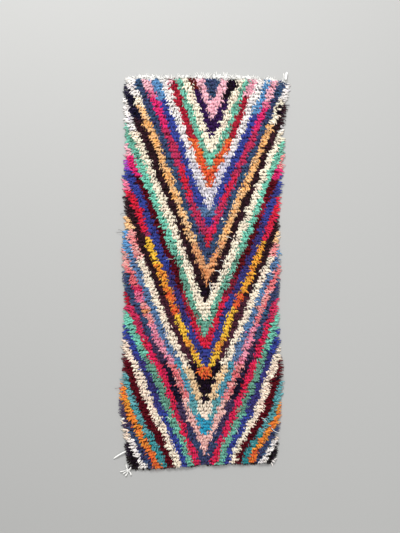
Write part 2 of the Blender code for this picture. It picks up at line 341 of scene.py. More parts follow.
# %% The stripes, from the top of the centre line down
FOOT = -9.0
STRIPES = (
    # width, then the stretches of an arm: down to this height, lot, share of the second dye
    # a stripe whose left and right arms differ lists the two in that order
    (0.100, [(FOOT, "navy", 0.5)]),
    (0.136, [(FOOT, "pink", 0.05)]),
    (0.104, [(1.10, "maroon", 0.8), (FOOT, "black", 0.9)], [(1.05, "black", 0.1), (FOOT, "black", 0.9)]),
    (0.126, [(FOOT, "cream", 0.2)]),
    (0.101, [(FOOT, "mint", 0.35)]),
    (0.113, [(1.12, "ruby", 0.6), (0.814, "ruby", 0.1), (FOOT, "orange", 0.05)],
     [(1.07, "pink", 0.3), (0.814, "ruby", 0.1), (FOOT, "orange", 0.05)]),
    (0.124, [(0.66, "white", 0.1), (FOOT, "white", 0.6)], [(0.71, "white", 0.1), (FOOT, "white", 0.8)]),
    (0.114, [(1.05, "sky", 0.4), (0.40, "royal", 0.1), (0.335, "sky", 0.9), (FOOT, "royal", 0.1)],
     [(0.955, "sky", 0.2), (0.40, "royal", 0.1), (0.335, "sky", 0.9), (FOOT, "royal", 0.1)]),
    (0.110, [(1.10, "pink", 0.1), (1.06, "pink", 1.0), (0.87, "crimson", 0.9), (0.64, "raspberry", 0.4),
             (0.45, "crimson", 0.1), (0.30, "raspberry", 0.1), (0.22, "raspberry", 0.6),
             (FOOT, "crimson", 0.1)],
     [(1.04, "pink", 0.2), (1.00, "pink", 1.0), (0.86, "crimson", 0.9), (0.58, "raspberry", 0.2),
      (0.44, "crimson", 0.25), (0.31, "raspberry", 0.0), (0.24, "crimson", 0.5), (FOOT, "crimson", 0.1)]),
    (0.106, [(0.70, "navy", 0.4), (FOOT, "navy", 0.5)]),
    (0.109, [(1.06, "white", 0.1), (1.00, "cream", 0.2), (0.91, "peach", 0.7), (0.42, "peach", 0.3),
             (0.18, "peach", 0.45), (0.02, "tan", 0.4), (FOOT, "tan", 0.1)],
     [(1.04, "white", 0.1), (0.894, "cream", 0.2), (0.42, "peach", 0.3), (0.18, "peach", 0.45),
      (0.02, "tan", 0.4), (FOOT, "tan", 0.1)]),
    (0.111, [(0.93, "midnight", 0.0), (FOOT, "plum", 0.95)], [(FOOT, "plum", 0.95)]),
    (0.106, [(0.85, "white", 0.1), (FOOT, "cream", 0.2)]),
    (0.098, [(0.60, "mint", 0.35), (0.18, "mint", 0.05), (-0.28, "mint", 0.7), (FOOT, "mint", 0.5)]),
    (0.094, [(0.70, "pink", 0.2), (0.58, "crimson", 1.0), (-0.13, "maroon", 0.1), (-0.30, "ruby", 0.3),
             (FOOT, "crimson", 0.1)],
     [(0.63, "salmon", 0.5), (0.56, "crimson", 1.0), (0.44, "maroon", 0.2), (0.34, "ruby", 0.7),
      (-0.02, "maroon", 0.2), (-0.16, "ruby", 1.0), (FOOT, "crimson", 0.2)]),
    (0.104, [(0.74, "pink", 0.7), (0.62, "violet", 0.1), (0.00, "royal", 0.2), (-0.16, "royal", 0.9),
             (-0.33, "royal", 0.6), (FOOT, "royal", 0.3)],
     [(0.62, "violet", 0.5), (0.30, "royal", 0.2), (-0.14, "royal", 0.7), (FOOT, "royal", 0.3)]),
    (0.100, [(0.50, "pink", 0.9), (0.243, "crimson", 0.1), (0.212, "raspberry", 0.6),
             (0.048, "orange", 1.0), (-0.106, "orange", 0.5), (-0.254, "orange", 0.2),
             (-0.41, "orange", 1.0), (-0.49, "orange", 0.6), (-0.578, "orange", 1.0),
             (FOOT, "orange", 0.15)],
     [(0.45, "raspberry", 0.3), (0.197, "crimson", 0.2), (-0.13, "orange", 0.6), (-0.225, "orange", 0.15),
      (-0.40, "orange", 1.0), (-0.49, "orange", 0.6), (-0.578, "orange", 1.0), (FOOT, "orange", 0.15)]),
    (0.104, [(-0.15, "plum", 0.95), (-0.55, "plum", 0.25), (FOOT, "black", 0.1)]),
    (0.110, [(0.26, "peach", 0.6), (0.085, "salmon", 0.45), (-0.58, "cream", 0.4), (-0.78, "peach", 1.0),
             (FOOT, "cream", 0.5)],
     [(0.17, "peach", 0.6), (0.085, "salmon", 0.45), (-0.58, "cream", 0.4), (-0.78, "peach", 1.0),
      (FOOT, "cream", 0.5)]),
    (0.097, [(0.10, "sky", 0.1), (-0.54, "sky", 0.8), (-0.78, "turquoise", 0.6), (-0.88, "teal", 0.9),
             (FOOT, "turquoise", 0.1)]),
    (0.111, [(0.02, "salmon", 0.3), (-0.09, "salmon", 1.0), (-0.122, "raspberry", 0.0),
             (-0.176, "pink", 1.0), (-0.228, "salmon", 0.5), (-0.252, "tan", 0.0), (-0.32, "salmon", 0.6),
             (-0.56, "pink", 0.6), (-0.77, "salmon", 0.8), (-0.88, "salmon", 0.0), (FOOT, "salmon", 0.1)],
     [(0.02, "salmon", 0.3), (-0.10, "salmon", 0.9), (-0.32, "salmon", 0.6), (-0.56, "pink", 0.6),
      (-0.77, "salmon", 0.8), (-0.88, "salmon", 0.0), (FOOT, "salmon", 0.1)]),
    (0.100, [(-0.42, "navy", 0.4), (-0.54, "midnight", 0.7), (-0.78, "midnight", 0.0),
             (-0.95, "midnight", 1.0), (FOOT, "navy", 0.3)]),
    (0.100, [(-0.20, "ruby", 0.1), (-0.42, "raspberry", 0.1), (FOOT, "crimson", 0.35)],
     [(-0.30, "raspberry", 0.0), (FOOT, "crimson", 0.35)]),
    (0.108, [(-0.50, "mint", 0.3), (-0.85, "mint", 0.9), (FOOT, "mint", 0.5)]),
    (0.104, [(-0.50, "royal", 0.1), (-0.85, "royal", 0.7), (FOOT, "royal", 0.2)]),
    (0.110, [(-0.25, "white", 0.3), (-0.95, "cream", 0.6), (FOOT, "cream", 0.3)]),
    (0.111, [(FOOT, "maroon", 0.05)]),
    (0.094, [(-0.98, "teal", 0.8), (FOOT, "teal", 0.2)]),
    (0.103, [(-1.09, "orange", 0.35), (FOOT, "orange", 0.2)]),
    (0.090, [(-0.95, "midnight", 0.9), (FOOT, "navy", 0.3)]),
    (0.094, [(-1.02, "cream", 0.6), (FOOT, "white", 0.0)]),
    (9.000, [(FOOT, "black", 0.0)]),
)
# Odd knots, where a leftover of another lot was used up.
PATCHES = (
    # across, up, radius, lot, share of the second dye
    (0.165, 1.131, 0.033, "black", 0.1),
    (0.057, 0.885, 0.034, "black", 0.9),
    (0.007, -0.122, 0.036, "black", 0.0),
    (0.000, -0.668, 0.016, "black", 0.1),
    (-0.471, 1.008, 0.016, "white", 0.2),
    (0.464, 1.010, 0.016, "black", 0.2),
    (0.460, 0.987, 0.010, "cream", 0.4),
    (0.458, 0.964, 0.014, "black", 0.2),
    (0.450, 0.934, 0.013, "cream", 0.4),
    (0.443, 0.902, 0.014, "plum", 0.9),
    (0.445, -0.546, 0.010, "black", 0.2),
    (0.445, -0.644, 0.010, "black", 0.2),
    (-0.430, -1.165, 0.036, "black", 0.0),
    (0.427, -1.149, 0.014, "white", 0.2),
    (-0.204, 1.150, 0.011, "pink", 0.1),
    (-0.470, 0.445, 0.014, "plum", 0.9),
    (-0.480, 0.232, 0.026, "sky", 0.1),
    (0.006, -0.634, 0.015, "maroon", 1.0),
)
CHART_TOP = 1.168
APEX = np.array([
    # up the rug, the centre line's place across
    (-1.200, 0.006),
    (-0.174, 0.006),
    (0.010, 0.024),
    (1.200, 0.049),
])
SLOPES = np.array([
    # up the rug, slope of the left arms, slope of the right arms
    (-1.162, 2.40, 2.62),
    (-0.875, 2.24, 2.30),
    (-0.662, 2.28, 2.36),
    (0.010, 2.28, 2.36),
    (0.680, 2.32, 2.40),
    (1.168, 2.38, 2.43),
])
# The last rows hang straight down over the end, so below this height the arms run steeper: of the way
# down, only these shares count towards the drop, on the left and on the right.
STEEP_BELOW, STEEP_SHARES = -1.11, (0.8, 0.45)
# The weaver's hand drifts: millimetres to add to the drop, at these places across and up the rug.
DRIFT_ACROSS = np.array([-0.480, -0.415, -0.244, -0.159, -0.073, 0.098, 0.268, 0.439, 0.490])
DRIFT_UP = np.array([1.077, 0.833, 0.589, 0.345, 0.101, -0.143, -0.387, -0.631, -0.875, -1.119])
DRIFT = np.array([
    [2, 2, 47, 27, 12, -47, 0, 22, 22],
    [-6, 8, 41, 32, 14, -38, 2, 45, 40],
    [-24, 0, 18, 18, -6, 22, 29, 66, 60],
    [-10, 20, 10, 10, -26, 17, 26, 50, 50],
    [-26, -26, -20, 1, -20, 10, 9, 44, 44],
    [-7, -7, 1, -7, -25, -10, -2, 46, 80],
    [20, 20, -20, -13, -24, -16, -2, 40, 45],
    [30, 30, 47, 36, 6, -9, -3, 15, 15],
    [-3, -3, 31, 12, -25, -14, 3, -17, -17],
    [-16, -16, 22, 13, -13, -10, 18, 11, 11],
])


def between(places, at):
    """Index of the station before each place, and the smooth share of the way to the next one."""
    k = np.clip(np.searchsorted(at, places, side="right") - 1, 0, len(at) - 2)
    t = np.clip((places - at[k]) / (at[k + 1] - at[k]), 0, 1)
    return k, t * t * (3 - 2 * t)


def drift(x, y):
    """The drift table, blended across and up the rug."""
    i, s = between(x, DRIFT_ACROSS)
    j, t = between(-y, -DRIFT_UP)
    upper = DRIFT[j, i] * (1 - s) + DRIFT[j, i + 1] * s
    lower = DRIFT[j + 1, i] * (1 - s) + DRIFT[j + 1, i + 1] * s
    return (upper * (1 - t) + lower * t) / 1000


def drop(x, y):
    """Drop = way down from the top + slope * distance from the centre + drift, and whether on the left."""
    out = x - np.interp(y, APEX[:, 0], APEX[:, 1])
    y = np.maximum(y, STEEP_BELOW + np.where(out < 0, *STEEP_SHARES) * (y - STEEP_BELOW))
    left, right = (np.interp(y, SLOPES[:, 0], SLOPES[:, side]) for side in (1, 2))
    return CHART_TOP - y + np.where(out < 0, -left, right) * out + drift(x, y), out < 0


def read_chart(x, y):
    """Lot number and share of the second dye for every knot."""
    how_far, on_left = drop(x, y)
    stripe = np.searchsorted(np.cumsum([row[0] for row in STRIPES]), how_far)
    lot, second = np.zeros(x.shape, int), np.zeros(x.shape)
    for number, (_, *arms) in enumerate(STRIPES):
        for arm, on_arm in zip(arms * 2, (on_left, ~on_left)):
            for down_to, name, share in reversed(arm):
                here = (stripe == number) & on_arm & (y > down_to)
                lot[here], second[here] = LOT_NAMES.index(name), share
    for out_x, out_y, radius, name, share in PATCHES:
        here = np.hypot(x - out_x, y - out_y) < radius
        lot[here], second[here] = LOT_NAMES.index(name), share
    return lot, second


print(len(STRIPES), "stripes,", len(PATCHES), "patches")

# %% [markdown]
# ## The knots
# The weaver ties a row of knots across the whole width, beats in a few picks of plain weft, and ties the
# next row. Rows lie about 21 mm apart and knots about 14 mm apart. Each knot has its own small error.

# %% Where the knots sit
ROWS, KNOTS_IN_ROW = 112, 66
# Errors as parts of a row's height and of a knot's width, and limits as shares of the length and width.
ROW_WANDER, ROW_ERROR, KNOT_ERROR = 0.28, 0.09, 0.10
FOOT_LIMIT, HEAD_LIMIT, SIDE_MARGIN = 0.003, 0.998, 0.006

draw = np.random.default_rng(7)
grids = np.meshgrid(np.arange(ROWS), np.arange(KNOTS_IN_ROW), indexing="ij")
row, column = (grid.ravel() for grid in grids)
count = len(row)
wander = ROW_WANDER * soft_noise(column * 1.0, row * 1.0, 5.0, 11)
along = (row + 0.5 + wander + draw.normal(0, ROW_ERROR, count)) / ROWS
along = np.clip(along, FOOT_LIMIT, HEAD_LIMIT)
stagger = 0.5 * (row % 2 - 0.5)
across = (column + 0.5 + stagger + draw.normal(0, KNOT_ERROR, count)) / KNOTS_IN_ROW
across = np.clip(across, SIDE_MARGIN, 1 - SIDE_MARGIN)
knot_x, knot_y = weaving(across, along)
moved, above_crease = part_rows(knot_x, knot_y)
knot_y = knot_y + moved
print(count, "knots")

# %% [markdown]
# The locks hang downhill in the middle of the rug and fan outwards towards its sides, where they lie down
# almost flat. A knot's dye shows where its locks hang, so the chart is read there and not at the knot.

# %% How each knot's locks lean, and the yarn of each knot
REACH = 0.026
LEAN_AT_SIDE, LEAN_CURVE, LEAN_ON_RIM = np.radians(62), 1.4, np.radians(78)
LEAN_WANDER, KNOT_SPREAD, RIM_SPREAD = np.radians(14), np.radians(17), 0.25
RIM_KNOTS, STRAIGHT_AT_FOOT = 2.0, 0.8
CHART_ERROR_X, CHART_ERROR_Y = 0.002, 0.003
PATCHY, PATCH_SIZE = 0.6, 0.045

# The rim values are 1 for the outermost knot, one half for the next, and 0 elsewhere.
half_way = (across - 0.5) * 2
to_side = np.minimum(column, KNOTS_IN_ROW - 1 - column)
side_rim = np.clip(1 - to_side / RIM_KNOTS, 0, 1)
foot_rim = np.clip(1 - row / RIM_KNOTS, 0, 1) * (1 - side_rim)
lean = LEAN_AT_SIDE * np.sign(half_way) * np.abs(half_way) ** LEAN_CURVE
lean = lean + LEAN_WANDER * soft_noise(knot_x, knot_y, 0.11, 21) + draw.normal(0, KNOT_SPREAD, count)
on_rim = np.sign(half_way) * LEAN_ON_RIM + draw.normal(0, RIM_SPREAD, count)
lean = (lean * (1 - side_rim) + on_rim * side_rim) * (1 - STRAIGHT_AT_FOOT * foot_rim)

chart_x = knot_x + 0.5 * REACH * np.sin(lean) + draw.normal(0, CHART_ERROR_X, count)
chart_y = knot_y - 0.5 * REACH * np.cos(lean) + draw.normal(0, CHART_ERROR_Y, count)
knot_lot, knot_second = read_chart(chart_x, chart_y)
lot_spread = np.array([LOTS[name][2] for name in LOT_NAMES])
patchy = PATCHY * soft_noise(knot_x, knot_y, PATCH_SIZE, 12) + PATCHY * draw.normal(0, 1, count)
knot_second = np.clip(knot_second + lot_spread[knot_lot] * patchy, 0, 1)
print({name: int((knot_lot == k).sum()) for k, name in enumerate(LOT_NAMES)})

# %% [markdown]
# ## From paths to tubes
# Locks, warp ends and threads are all tubes along a path. One function makes any number of them at once:
# it takes the paths as one array and carries an oval ring along each. Every tube is closed, with a flat
# root and a drawn-in tip. Each keeps its own patch of a texture map, so nothing overlaps when it is baked.

# %% Tubes along many paths at once
def unit(vectors):
    """Each vector at length one."""
    return vectors / np.maximum(np.linalg.norm(vectors, axis=-1, keepdims=True), 1e-12)


def tubes(paths, half_widths, half_heights, sides, tip=0.5, rough=0.0, seed=0):
    """Closed tubes: points of each, and the corners, face sizes and map patch that they all share.

    Ring = path point + level side * cos(a) * half width + upward side * sin(a) * half height.
    """
    n, m, _ = paths.shape
    angle = 2 * np.pi * np.arange(sides) / sides
    way = unit(np.gradient(paths, axis=1))
    level = unit(np.stack([way[..., 1], -way[..., 0], np.zeros((n, m))], axis=-1))
    upward = np.cross(level, way)
    uneven = 1 + rough * np.random.default_rng(seed).uniform(-1, 1, (n, m, sides))
    wide = (half_widths[:, :, None] * np.cos(angle) * uneven)[..., None]
    high = (half_heights[:, :, None] * np.sin(angle) * uneven)[..., None]
    rings = paths[:, :, None, :] + level[:, :, None, :] * wide + upward[:, :, None, :] * high
    ends = paths[:, -1] + way[:, -1] * half_widths[:, -1:] * tip
    points = np.concatenate([rings.reshape(n, m * sides, 3), ends[:, None, :]], axis=1)

    side = np.arange(sides)
    following = (side + 1) % sides
    ring, last = np.arange(m - 1)[:, None] * sides, (m - 1) * sides
    walls = [ring + side, ring + sides + side, ring + sides + following, ring + following]
    caps = [last + side, np.full(sides, m * sides), last + following]
    corners = np.concatenate([np.stack(walls, axis=-1).ravel(), np.stack(caps, axis=-1).ravel(), side])
    sizes = np.concatenate([np.full((m - 1) * sides, 4), np.full(sides, 3), [sides]])

    v = np.arange(m) / m
    low, top = (np.repeat(v[:-1], sides), np.repeat(v[1:], sides))
    left = np.tile(side / sides, m - 1)
    right = left + 1 / sides
    wall_uv = np.stack([left, low, left, top, right, top, right, low], axis=-1).reshape(-1, 2)
    cap_v = np.full(sides, v[-1])
    cap_uv = [side / sides, cap_v, (side + 0.5) / sides, cap_v + 1 / m, (side + 1) / sides, cap_v]
    root_uv = np.stack([0.5 + 0.4 * np.cos(angle), -0.04 + 0.03 * np.sin(angle)], axis=-1)
    patch = np.concatenate([wall_uv, np.stack(cap_uv, axis=-1).reshape(-1, 2), root_uv])
    return points, corners, sizes, patch


ATTRIBUTE_KINDS = {1: ("FLOAT", "value"), 3: ("FLOAT_VECTOR", "vector"), 4: ("FLOAT_COLOR", "color")}
# Shares of a tube's square on the texture map: its empty margin, and the band for the flat root.
MAP_MARGIN, ROOT_BAND = 0.08, 0.06


def add_mesh(name, points, corners, sizes, patch, values):
    """One object from many like tubes: every tube repeats the same corners, shifted to its own points."""
    n, each, _ = points.shape
    mesh = bpy.data.meshes.new(name)
    mesh.vertices.add(n * each)
    mesh.vertices.foreach_set("co", (points + MIDDLE).astype(np.float32).ravel())
    shifted = corners[None, :] + each * np.arange(n)[:, None]
    mesh.loops.add(shifted.size)
    mesh.loops.foreach_set("vertex_index", shifted.astype(np.int32).ravel())
    starts = np.concatenate([[0], np.cumsum(np.tile(sizes, n))[:-1]])
    mesh.polygons.add(len(starts))
    mesh.polygons.foreach_set("loop_start", starts.astype(np.int32))
    patches = int(np.ceil(np.sqrt(n)))
    cell = np.stack([np.arange(n) % patches, np.arange(n) // patches], axis=-1)
    own = patch[None] * [1, 1 - ROOT_BAND] + [0, ROOT_BAND]
    uv = (cell[:, None, :] + MAP_MARGIN + (1 - 2 * MAP_MARGIN) * own) / patches
    layer = mesh.uv_layers.new(name="OFBake")
    layer.uv.foreach_set("vector", uv.astype(np.float32).ravel())
    for key, value in values.items():
        kind, field = ATTRIBUTE_KINDS[value.shape[-1]]
        attribute = mesh.attributes.new(key, kind, "POINT")
        attribute.data.foreach_set(field, value.astype(np.float32).ravel())
    mesh.update(calc_edges=True)
    mesh.validate()
    mesh.shade_smooth()
    return add_object(name, mesh)


def spread(per_tube, each):
    """One value per tube, repeated for each of its points."""
    return np.repeat(np.asarray(per_tube, float)[:, None], each, axis=1)[..., None]


def strand_values(points, half_widths, sides, length, shade, seed):
    """The tube's own coordinates and shades, for the yarn's material.

    strand: the place around and along the unbent tube. shade: one random value for each tube. run: from 0
    at the root to 1 at the tip.
    """
    n, each, _ = points.shape
    m = half_widths.shape[1]
    angle = 2 * np.pi * np.arange(sides) / sides
    along_tube = np.linspace(0, 1, m)[None, :, None] * np.ones((n, 1, sides))
    around = np.stack([
        half_widths[:, :, None] * np.cos(angle),
        half_widths[:, :, None] * np.sin(angle),
        along_tube * length[:, None, None],
    ], axis=-1).reshape(n, m * sides, 3)
    end = np.stack([np.zeros(n), np.zeros(n), length * 1.05], axis=-1)[:, None, :]
    own = np.random.default_rng(seed).uniform(0, 5, (n, 1, 3))
    run = np.concatenate([along_tube.reshape(n, m * sides), np.ones((n, 1))], axis=1)
    return {
        "strand": np.concatenate([around, end], axis=1) + own,
        "shade": spread(shade, each),
        "run": run[..., None],
    }


print("tube helpers ready")

# %% [markdown]
# ## Yarn and rag as a shader
# Every lock, whatever its dye, is the same kind of thing: a bundle of fibres. It is darker at the root,
# where light doesn't reach, and each lock took the dye a little differently. That goes into one shader
# node group, which each lot's material uses with its own two dyes. The group reads the tube's own
# coordinates, so the fibres run along each lock however it bends.

# %% Helpers that add nodes to a tree
def arithmetic(tree):
    """A function that adds one math node to this tree and returns the node's output."""
    def math_node(operation, first, second=0.0):
        node = tree.nodes.new("ShaderNodeMath")
        node.operation = operation
        for socket, value in zip(node.inputs, (first, second)):
            if isinstance(value, (int, float)):
                socket.default_value = value
            else:
                tree.links.new(value, socket)
        return node.outputs[0]

    return math_node


def stored(tree, name):
    """Outputs of a node that reads a value stored on the mesh."""
    node = tree.nodes.new("ShaderNodeAttribute")
    node.attribute_name = name
    return node.outputs


def mixed(tree, share, first, second):
    """Colour = first * (1 - share) + second * share, each a tuple or another node's output."""
    node = tree.nodes.new("ShaderNodeMix")
    node.data_type = "RGBA"
    tree.links.new(share, node.inputs["Factor"])
    colours = [socket for socket in node.inputs if socket.type == "RGBA"]
    for socket, value in zip(colours, (first, second)):
        if isinstance(value, tuple):
            socket.default_value = value
        else:
            tree.links.new(value, socket)
    return next(socket for socket in node.outputs if socket.type == "RGBA")


def add_relief(tree, shader, height, strength, distance):
    """Bump of the shader's surface: strength * distance * the output that gives the height."""
    node = tree.nodes.new("ShaderNodeBump")
    node.inputs["Strength"].default_value = strength
    node.inputs["Distance"].default_value = distance
    tree.links.new(height, node.inputs["Height"])
    tree.links.new(node.outputs["Normal"], shader.inputs["Normal"])


print("node helpers ready")

# %% The fibre group
# How often the fibres repeat per metre, across a lock and along it.
FIBRE_PITCH, FIBRE_DETAIL = (900, 900, 90), 3.0
YARN_SPECULAR, YARN_SHEEN_ROUGHNESS = 0.15, 0.6
YARN_BUMP, YARN_RELIEF = 0.5, 0.0006


def fibre_group():
    """Colour = dye * (1 + streaks + the lock's own shade) * (darker at the root). Height = the streaks."""
    group = bpy.data.node_groups.new("dyed_fibres", "ShaderNodeTree")
    sockets = group.interface
    sockets.new_socket("Dye", in_out="INPUT", socket_type="NodeSocketColor")
    for name, value in (("Streaks", 0.35), ("Unevenness", 0.55), ("Root Shade", 0.30)):
        socket = sockets.new_socket(name, in_out="INPUT", socket_type="NodeSocketFloat")
        socket.default_value = value
    sockets.new_socket("Color", in_out="OUTPUT", socket_type="NodeSocketColor")
    sockets.new_socket("Height", in_out="OUTPUT", socket_type="NodeSocketFloat")
    nodes, links, math_node = group.nodes, group.links, arithmetic(group)
    given, result = nodes.new("NodeGroupInput"), nodes.new("NodeGroupOutput")

    stretch = nodes.new("ShaderNodeVectorMath")
    stretch.operation = "MULTIPLY"
    stretch.inputs[1].default_value = FIBRE_PITCH
    links.new(stored(group, "strand")["Vector"], stretch.inputs[0])
    fibres = nodes.new("ShaderNodeTexNoise")
    fibres.inputs["Scale"].default_value = 1.0
    fibres.inputs["Detail"].default_value = FIBRE_DETAIL
    links.new(stretch.outputs[0], fibres.inputs["Vector"])

    streak = math_node("SUBTRACT", fibres.outputs["Fac"], 0.5)
    streak = math_node("MULTIPLY", streak, given.outputs["Streaks"])
    own = math_node("SUBTRACT", stored(group, "shade")["Fac"], 0.5)
    own = math_node("MULTIPLY", own, given.outputs["Unevenness"])
    root = math_node("POWER", math_node("SUBTRACT", 1.0, stored(group, "run")["Fac"]), 2.0)
    shaded = math_node("SUBTRACT", 1.0, math_node("MULTIPLY", root, given.outputs["Root Shade"]))
    streaked = math_node("ADD", 1.0, math_node("MULTIPLY", streak, 2.0))
    bright = math_node("MULTIPLY", math_node("ADD", streaked, own), shaded)
    colour = nodes.new("ShaderNodeVectorMath")
    colour.operation = "SCALE"
    links.new(given.outputs["Dye"], colour.inputs[0])
    links.new(bright, colour.inputs["Scale"])
    links.new(colour.outputs[0], result.inputs["Color"])
    links.new(fibres.outputs["Fac"], result.inputs["Height"])
    return group


FIBRES = fibre_group()


def yarn_material(name, dyes, sheen, roughness=0.9, **amounts):
    """Principled shader with the fibre group, whose other amounts can be given by name.

    Two dyes blend by each lock's share of the second one. Without dyes, every lock brings its own.
    """
    material, shader = start_material(name, roughness)
    tree = material.node_tree
    shader.inputs["Specular IOR Level"].default_value = YARN_SPECULAR
    shader.inputs["Sheen Weight"].default_value = sheen
    shader.inputs["Sheen Roughness"].default_value = YARN_SHEEN_ROUGHNESS
    fibres = tree.nodes.new("ShaderNodeGroup")
    fibres.node_tree = FIBRES
    for key, value in amounts.items():
        fibres.inputs[key.replace("_", " ").title()].default_value = value
    if dyes is None:
        dye = stored(tree, "dye")["Color"]
    else:
        first, second = ((*linear(display), 1) for display in dyes[:2])
        dye = mixed(tree, stored(tree, "second")["Fac"], first, second)
    tree.links.new(dye, fibres.inputs["Dye"])
    tree.links.new(fibres.outputs["Color"], shader.inputs["Base Color"])
    add_relief(tree, shader, fibres.outputs["Height"], YARN_BUMP, YARN_RELIEF)
    return material


print("fibre group with", len(FIBRES.nodes), "nodes")

# %% [markdown]
# ## The pile
# Four locks spring from each knot. A lock rises, bows over and hangs over the row below. Its path is a
# parabola: it climbs to its full height about halfway out and has dropped part of the way back at the
# tip. At the sides and the bottom end the locks lie down to the floor.

# %% How each lock lies
LOCKS = 4
LOCK_SIDES = 4
LOCK_STEPS = np.array([0.0, 0.36, 0.72, 0.98])
LOCK_SWELL = np.array([0.70, 1.00, 0.95, 0.60])
FAN = np.radians(20)
RISE, HALF_WIDTH, FLATNESS = 0.0195, 0.0032, 0.75
ROOT_GAP, ROOT_DEPTH, FLOOR_GAP = 0.0055, 0.8, 0.0004
# How much the locks differ: heading, place of the root, and shares of the reach, the rise and the width.
HEADING_SPREAD, ROOT_SPREAD_X, ROOT_SPREAD_Y = np.radians(10), 0.0008, 0.0022
REACH_SPREAD, RISE_SPREAD, WIDTH_SPREAD, CURL_SPREAD = 0.13, 0.12, 0.12, 0.22
TIP_MEAN, TIP_SPREAD, TIP_RANGE = 0.42, 0.12, (0.05, 0.8)
SHADE_SPREAD, KNOT_SHADE_SPREAD, DYE_SPREAD = 0.22, 0.12, 0.12
SHORTER_AT_CREASE = 0.22
# What a lock gains or loses on the side rims and on the foot rim, as shares.
RIM_REACH, RIM_RISE, RIM_TIP = (0.20, -0.35), (-0.45, -0.15), (-1.0, -0.5)

# Some knots stand taller than their neighbours, and so do some parts of the rug.
tall = 1 + 0.18 * soft_noise(knot_x, knot_y, 0.05, 22) + 0.10 * soft_noise(knot_x, knot_y, 0.35, 23)


def at_rim(side, foot):
    """One value for each knot: 1 + side * (its side rim value) + foot * (its foot rim value)."""
    return (1 + side * side_rim + foot * foot_rim)[:, None]


def knot_locks():
    """Root, heading, reach, rise, half width, tip height and curl of every lock, knot after knot."""
    shape = (count, LOCKS)
    fan = np.linspace(-1, 1, LOCKS)[None, :]
    heading = lean[:, None] + FAN * fan + draw.normal(0, HEADING_SPREAD, shape)
    root_x = knot_x[:, None] + ROOT_GAP * fan + draw.normal(0, ROOT_SPREAD_X, shape)
    root_y = knot_y[:, None] + draw.normal(0, ROOT_SPREAD_Y, shape)
    root_z = cloth_lift(root_x, root_y) + CLOTH_THICKNESS * ROOT_DEPTH
    reach = REACH * draw.normal(1, REACH_SPREAD, shape) * at_rim(*RIM_REACH)
    reach = reach * (1 - SHORTER_AT_CREASE * above_crease[:, None])
    rise = RISE * tall[:, None] * draw.normal(1, RISE_SPREAD, shape) * at_rim(*RIM_RISE)
    half_width = HALF_WIDTH * draw.normal(1, WIDTH_SPREAD, shape)
    tip = np.clip(draw.normal(TIP_MEAN, TIP_SPREAD, shape), *TIP_RANGE) * at_rim(*RIM_TIP)
    curl = draw.normal(0, CURL_SPREAD, shape)
    values = root_x, root_y, root_z, heading, reach, rise, half_width, tip, curl
    return [value.ravel() for value in values]


def lock_paths(root_x, root_y, root_z, heading, reach, rise, tip, curl):
    """out = reach * t, aside = curl * reach * t * t, up = rise * ((4 - tip) * t + (2 * tip - 4) * t * t)."""
    t = LOCK_STEPS[None, :]
    out = reach[:, None] * t
    aside = (curl * reach)[:, None] * t**2
    up = rise[:, None] * ((4 - tip[:, None]) * t + (2 * tip[:, None] - 4) * t**2)
    sin, cos = np.sin(heading)[:, None], np.cos(heading)[:, None]
    x = root_x[:, None] + sin * out + cos * aside
    y = root_y[:, None] - cos * out + sin * aside
    return np.stack([x, y, root_z[:, None] + up], axis=-1)


lock_x, lock_y, lock_z, heading, reach, rise, half_width, tip, curl = knot_locks()
paths = lock_paths(lock_x, lock_y, lock_z, heading, reach, rise, tip, curl)
widths = half_width[:, None] * LOCK_SWELL[None, :]
heights = widths * FLATNESS
paths[..., 2] = np.maximum(paths[..., 2], heights + FLOOR_GAP)
lock_knot = np.repeat(np.arange(count), LOCKS)
shade = draw.normal(0.5, SHADE_SPREAD, count * LOCKS)
shade = np.clip(shade + np.repeat(draw.normal(0, KNOT_SHADE_SPREAD, count), LOCKS), 0, 1)
second = np.clip(knot_second[lock_knot] + draw.normal(0, DYE_SPREAD, count * LOCKS), 0, 1)
print(len(paths), "locks, highest", round(float(paths[..., 2].max()), 4))

# %% The pile's pieces, one for each lot of yarn
PILE_SLOT, EDGE_SLOT, WARP_SLOT = "rag_pile", "edge_rag", "warp_cotton"
LOT_FIBRE = {
    # lot: sheen, streaks, root shade
    "cream": (0.20, 0.30, 0.18),
    "white": (0.20, 0.25, 0.18),
    "black": (0.00, 0.50, 0.40),
    "midnight": (0.00, 0.50, 0.40),
    "plum": (0.01, 0.50, 0.40),
    "maroon": (0.00, 0.50, 0.40),
    "navy": (0.03, 0.50, 0.30),
}
USUAL_FIBRE = (0.08, 0.35, 0.30)
LOCK_ROUGHNESS, LOWEST_POINT = 0.22, 0.0002
LENGTH_OF_REACH = 1.3


def add_locks(name, chosen, material, seed, with_dye=False):
    """One piece from the chosen locks, with either their share of the second dye or their whole dye."""
    own_widths = widths[chosen]
    points, corners, sizes, patch = tubes(
        paths[chosen], own_widths, heights[chosen], LOCK_SIDES, rough=LOCK_ROUGHNESS, seed=seed
    )
    points[..., 2] = np.maximum(points[..., 2], LOWEST_POINT)
    length = reach[chosen] * LENGTH_OF_REACH
    values = strand_values(points, own_widths, LOCK_SIDES, length, shade[chosen], seed)
    number, each, _ = points.shape
    if with_dye:
        dye = dye_of(knot_lot[lock_knot[chosen]], second[chosen])
        dye = np.concatenate([dye, np.ones((number, 1))], axis=1)
        values["dye"] = np.repeat(dye[:, None, :], each, axis=1)
    else:
        values["second"] = spread(second[chosen], each)
    piece = add_mesh(name, points, corners, sizes, patch, values)
    piece.data.materials.append(material)
    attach(piece, "root")
    triangles = number * (len(LOCK_STEPS) * LOCK_SIDES * 2 - 2)
    print(f"{name}: {number} locks, {triangles} triangles")
    return piece


